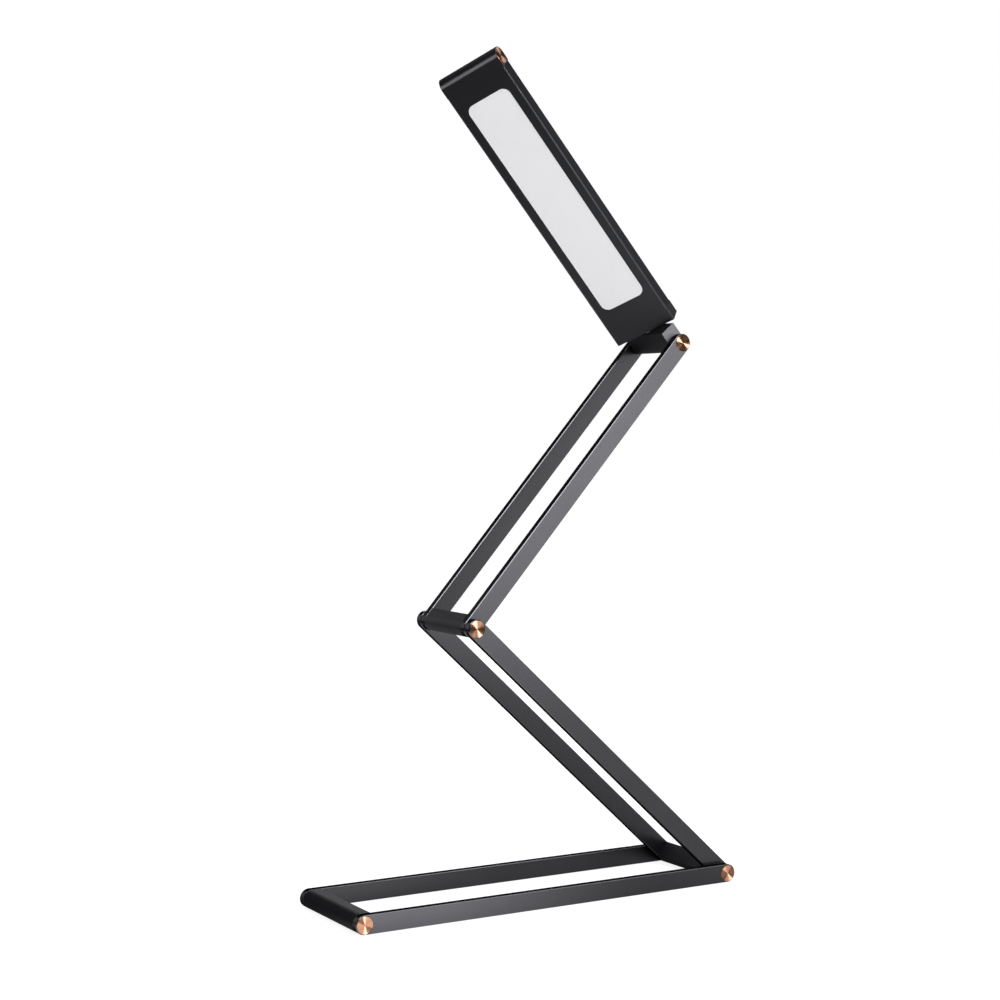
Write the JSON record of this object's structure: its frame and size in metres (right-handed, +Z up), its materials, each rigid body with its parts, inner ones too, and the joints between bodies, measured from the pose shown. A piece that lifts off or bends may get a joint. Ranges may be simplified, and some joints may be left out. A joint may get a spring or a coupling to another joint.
{
  "type": "folding led desk lamp",
  "caption": "Desk lamp whose base, two arms and flat light head are nested metal frames that fold into one thin bar-shaped pack; the head swivels and has a push button.",
  "frame": {"origin": "on the table, under the middle of the base frame", "axes": "+X along the base from its end bar to the base hinge, +Y across the frames towards the back rail, +Z up"},
  "size_m": [0.237, 0.0678, 0.4551],
  "materials": {
    "base_rail_metal": "satin anodised, bright chamfers",
    "lower_rail_metal": "satin anodised, bright chamfers",
    "upper_rail_metal": "satin anodised, bright chamfers",
    "cross_bar_metal": "satin anodised, dark",
    "neck_metal": "satin anodised",
    "copper_cap": "turned and anodised copper colour",
    "axle_steel": "ground",
    "washer_plastic": "smooth",
    "head_body_metal": "satin anodised black",
    "head_end_black": "semi-gloss black",
    "face_plate_plastic": "satin",
    "diffuser_plastic": "frosted, translucent",
    "light_guide_acrylic": "clear, polished",
    "reflector_film": "white",
    "led_board_white": "solder mask",
    "battery_foil": "foil pouch",
    "board_green": "solder mask",
    "switch_black": "moulded",
    "socket_steel": "bright",
    "button_plastic": "satin"
  },
  "bodies": {
    "base": {"base_rail_front": "base_rail_metal", "base_rail_back": "base_rail_metal", "base_end_bar": "cross_bar_metal", "base_end_screws": "axle_steel", "base_end_caps": "copper_cap", "base_hinge_axle": "axle_steel", "base_hinge_caps": "copper_cap"},
    "lower_arm": {"base_hinge_washers": "washer_plastic", "lower_rail_front": "lower_rail_metal", "lower_rail_back": "lower_rail_metal", "lower_hinge_block": "cross_bar_metal", "lower_block_dowels": "axle_steel", "mid_hinge_axle": "axle_steel", "mid_hinge_caps": "copper_cap"},
    "upper_arm": {"mid_hinge_washers": "washer_plastic", "upper_rail_front": "upper_rail_metal", "upper_rail_back": "upper_rail_metal", "upper_cross_bar": "cross_bar_metal", "upper_bar_dowels": "axle_steel", "top_hinge_axle": "axle_steel", "top_hinge_caps": "copper_cap"},
    "neck": {"top_hinge_washers": "washer_plastic", "neck_block": "neck_metal", "swivel_stud": "axle_steel", "swivel_nut": "axle_steel", "swivel_washer": "washer_plastic", "swivel_spring_washer": "axle_steel"},
    "head": {"head_shell": "head_body_metal", "head_end_plug": "head_end_black", "head_tip_bar": "head_end_black", "head_end_caps": "copper_cap", "head_back_screws": "axle_steel", "head_face_plate": "face_plate_plastic", "diffuser": "diffuser_plastic", "light_guide": "light_guide_acrylic", "reflector_sheet": "reflector_film", "led_board": "led_board_white", "battery": "battery_foil", "control_board": "board_green", "push_switch": "switch_black", "charging_socket": "socket_steel"},
    "power_button": {"power_button": "button_plastic"}
  },
  "joints": [
    {"name": "base_hinge", "type": "hinge", "parent": "base", "child": "lower_arm", "pos_m": [0.1135, 0, 0.005], "axis": [0, 1, 0], "range_deg": [-42.4, 137.6]},
    {"name": "mid_hinge", "type": "hinge", "parent": "lower_arm", "child": "upper_arm", "pos_m": [-0.04571, 0, 0.15038], "axis": [0, -1, 0], "range_deg": [-90.9, 89.1]},
    {"name": "top_hinge", "type": "hinge", "parent": "upper_arm", "child": "neck", "pos_m": [0.0882, 0, 0.30174], "axis": [0, 1, 0], "range_deg": [-98.1, 81.9]},
    {"name": "head_swivel", "type": "hinge", "parent": "neck", "child": "head", "pos_m": [0.0882, 0, 0.30174], "axis": [-0.6481, 0, 0.7615], "range_deg": [-36.4, 143.6]},
    {"name": "power_press", "type": "slide", "parent": "head", "child": "power_button", "axis": [-0.613, -0.5934, -0.5217], "range_m": [0, 0.0004], "stiffness_N_per_m": 1500, "springref_m": -0.0005}
  ]
}
